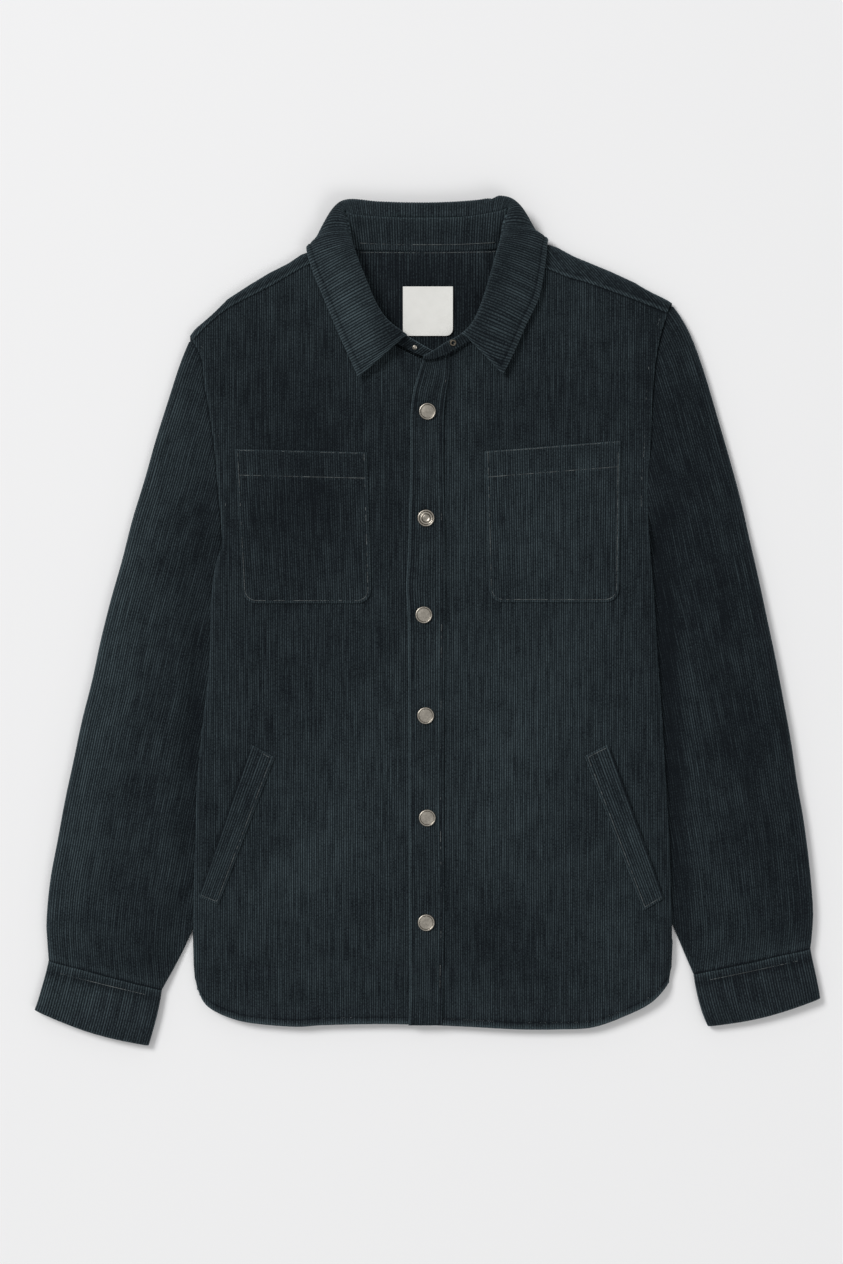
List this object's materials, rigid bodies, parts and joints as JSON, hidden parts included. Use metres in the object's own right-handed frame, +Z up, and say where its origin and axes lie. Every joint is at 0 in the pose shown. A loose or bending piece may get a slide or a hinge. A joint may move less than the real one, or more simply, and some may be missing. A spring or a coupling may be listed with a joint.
{
  "type": "corduroy shacket laid flat",
  "caption": "Overshirt of dark corduroy laid out flat, fastened, with a shirt collar, patch pockets, slanted welts and snaps.",
  "frame": {"origin": "centre of the garment's outline, on the surface it lies on", "axes": "+Z up, +Y towards the collar, +X towards the wearer's left sleeve"},
  "size_m": [0.7398, 0.7973, 0.0245],
  "materials": {
    "corduroy": "dark teal-black corduroy, cut pile ribs",
    "label_cloth": "off-white woven cotton",
    "nickel": "satin antique nickel"
  },
  "bodies": {
    "root": {"back_panel": "corduroy", "back_yoke": "corduroy", "inner_yoke": "corduroy", "front_right": "corduroy", "front_left": "corduroy", "placket": "corduroy", "collar_stand": "corduroy", "collar_leaf": "corduroy", "pocket_chest_right": "corduroy", "pocket_chest_left": "corduroy", "welt_right": "corduroy", "welt_left": "corduroy", "sleeve_right": "corduroy", "sleeve_left": "corduroy", "cuff_right": "corduroy", "cuff_left": "corduroy", "neck_label": "label_cloth", "snap_1": "nickel", "snap_2": "nickel", "snap_3": "nickel", "snap_4": "nickel", "snap_5": "nickel", "snap_6": "nickel", "stand_post": "nickel", "stand_eyelet": "nickel"}
  },
  "joints": []
}
